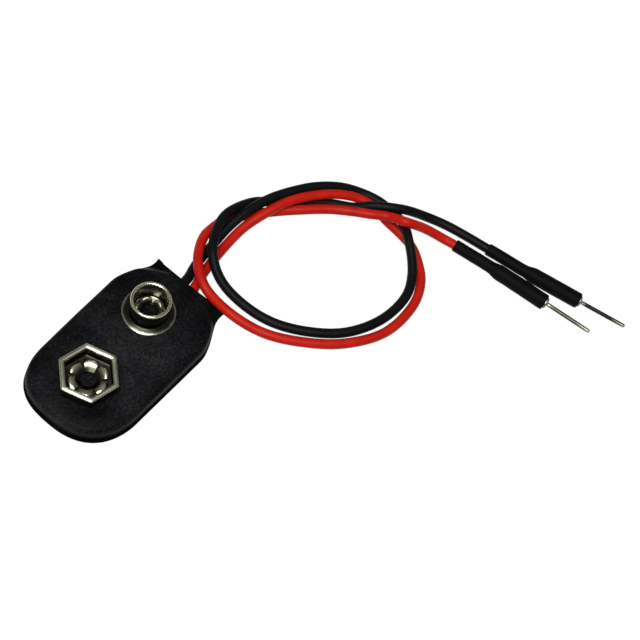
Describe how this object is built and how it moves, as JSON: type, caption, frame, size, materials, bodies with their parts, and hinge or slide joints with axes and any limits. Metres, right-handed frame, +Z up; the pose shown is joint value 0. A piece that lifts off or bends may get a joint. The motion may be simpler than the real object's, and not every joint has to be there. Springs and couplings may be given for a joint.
{
  "type": "9 V battery snap",
  "caption": "Flat black vinyl battery snap with a hexagonal socket and a round stud, and looped red and black leads that end in sleeved round pins.",
  "frame": {"origin": "centre of the cover's outline at its back face, z = 0 on the table", "axes": "+X along the cover from its rounded end to the mouth, +Z up through the contacts"},
  "size_m": [0.067, 0.0577, 0.0066],
  "materials": {
    "cover": "satin grained vinyl",
    "board": "matte fibre",
    "contact": "nickel plated",
    "rivet": "nickel plated",
    "tag": "plain",
    "solder": "satin",
    "strand": "bare copper strands",
    "red_pvc": "satin gloss",
    "black_pvc": "satin gloss",
    "sleeve": "matte shrunk tube",
    "tinned": "tinned",
    "pin": "bright tin plated"
  },
  "bodies": {
    "root": {"front_cover": "cover", "back_cover": "cover", "contact_board": "board", "socket_contact": "contact", "stud_contact": "contact", "socket_rivet": "rivet", "stud_rivet": "rivet", "socket_tag": "tag", "stud_tag": "tag", "socket_solder": "solder", "stud_solder": "solder", "red_strands": "strand", "black_strands": "strand", "red_lead": "red_pvc", "black_lead": "black_pvc", "red_sleeve": "sleeve", "black_sleeve": "sleeve", "red_core": "tinned", "black_core": "tinned", "red_pin": "pin", "black_pin": "pin"}
  },
  "joints": []
}
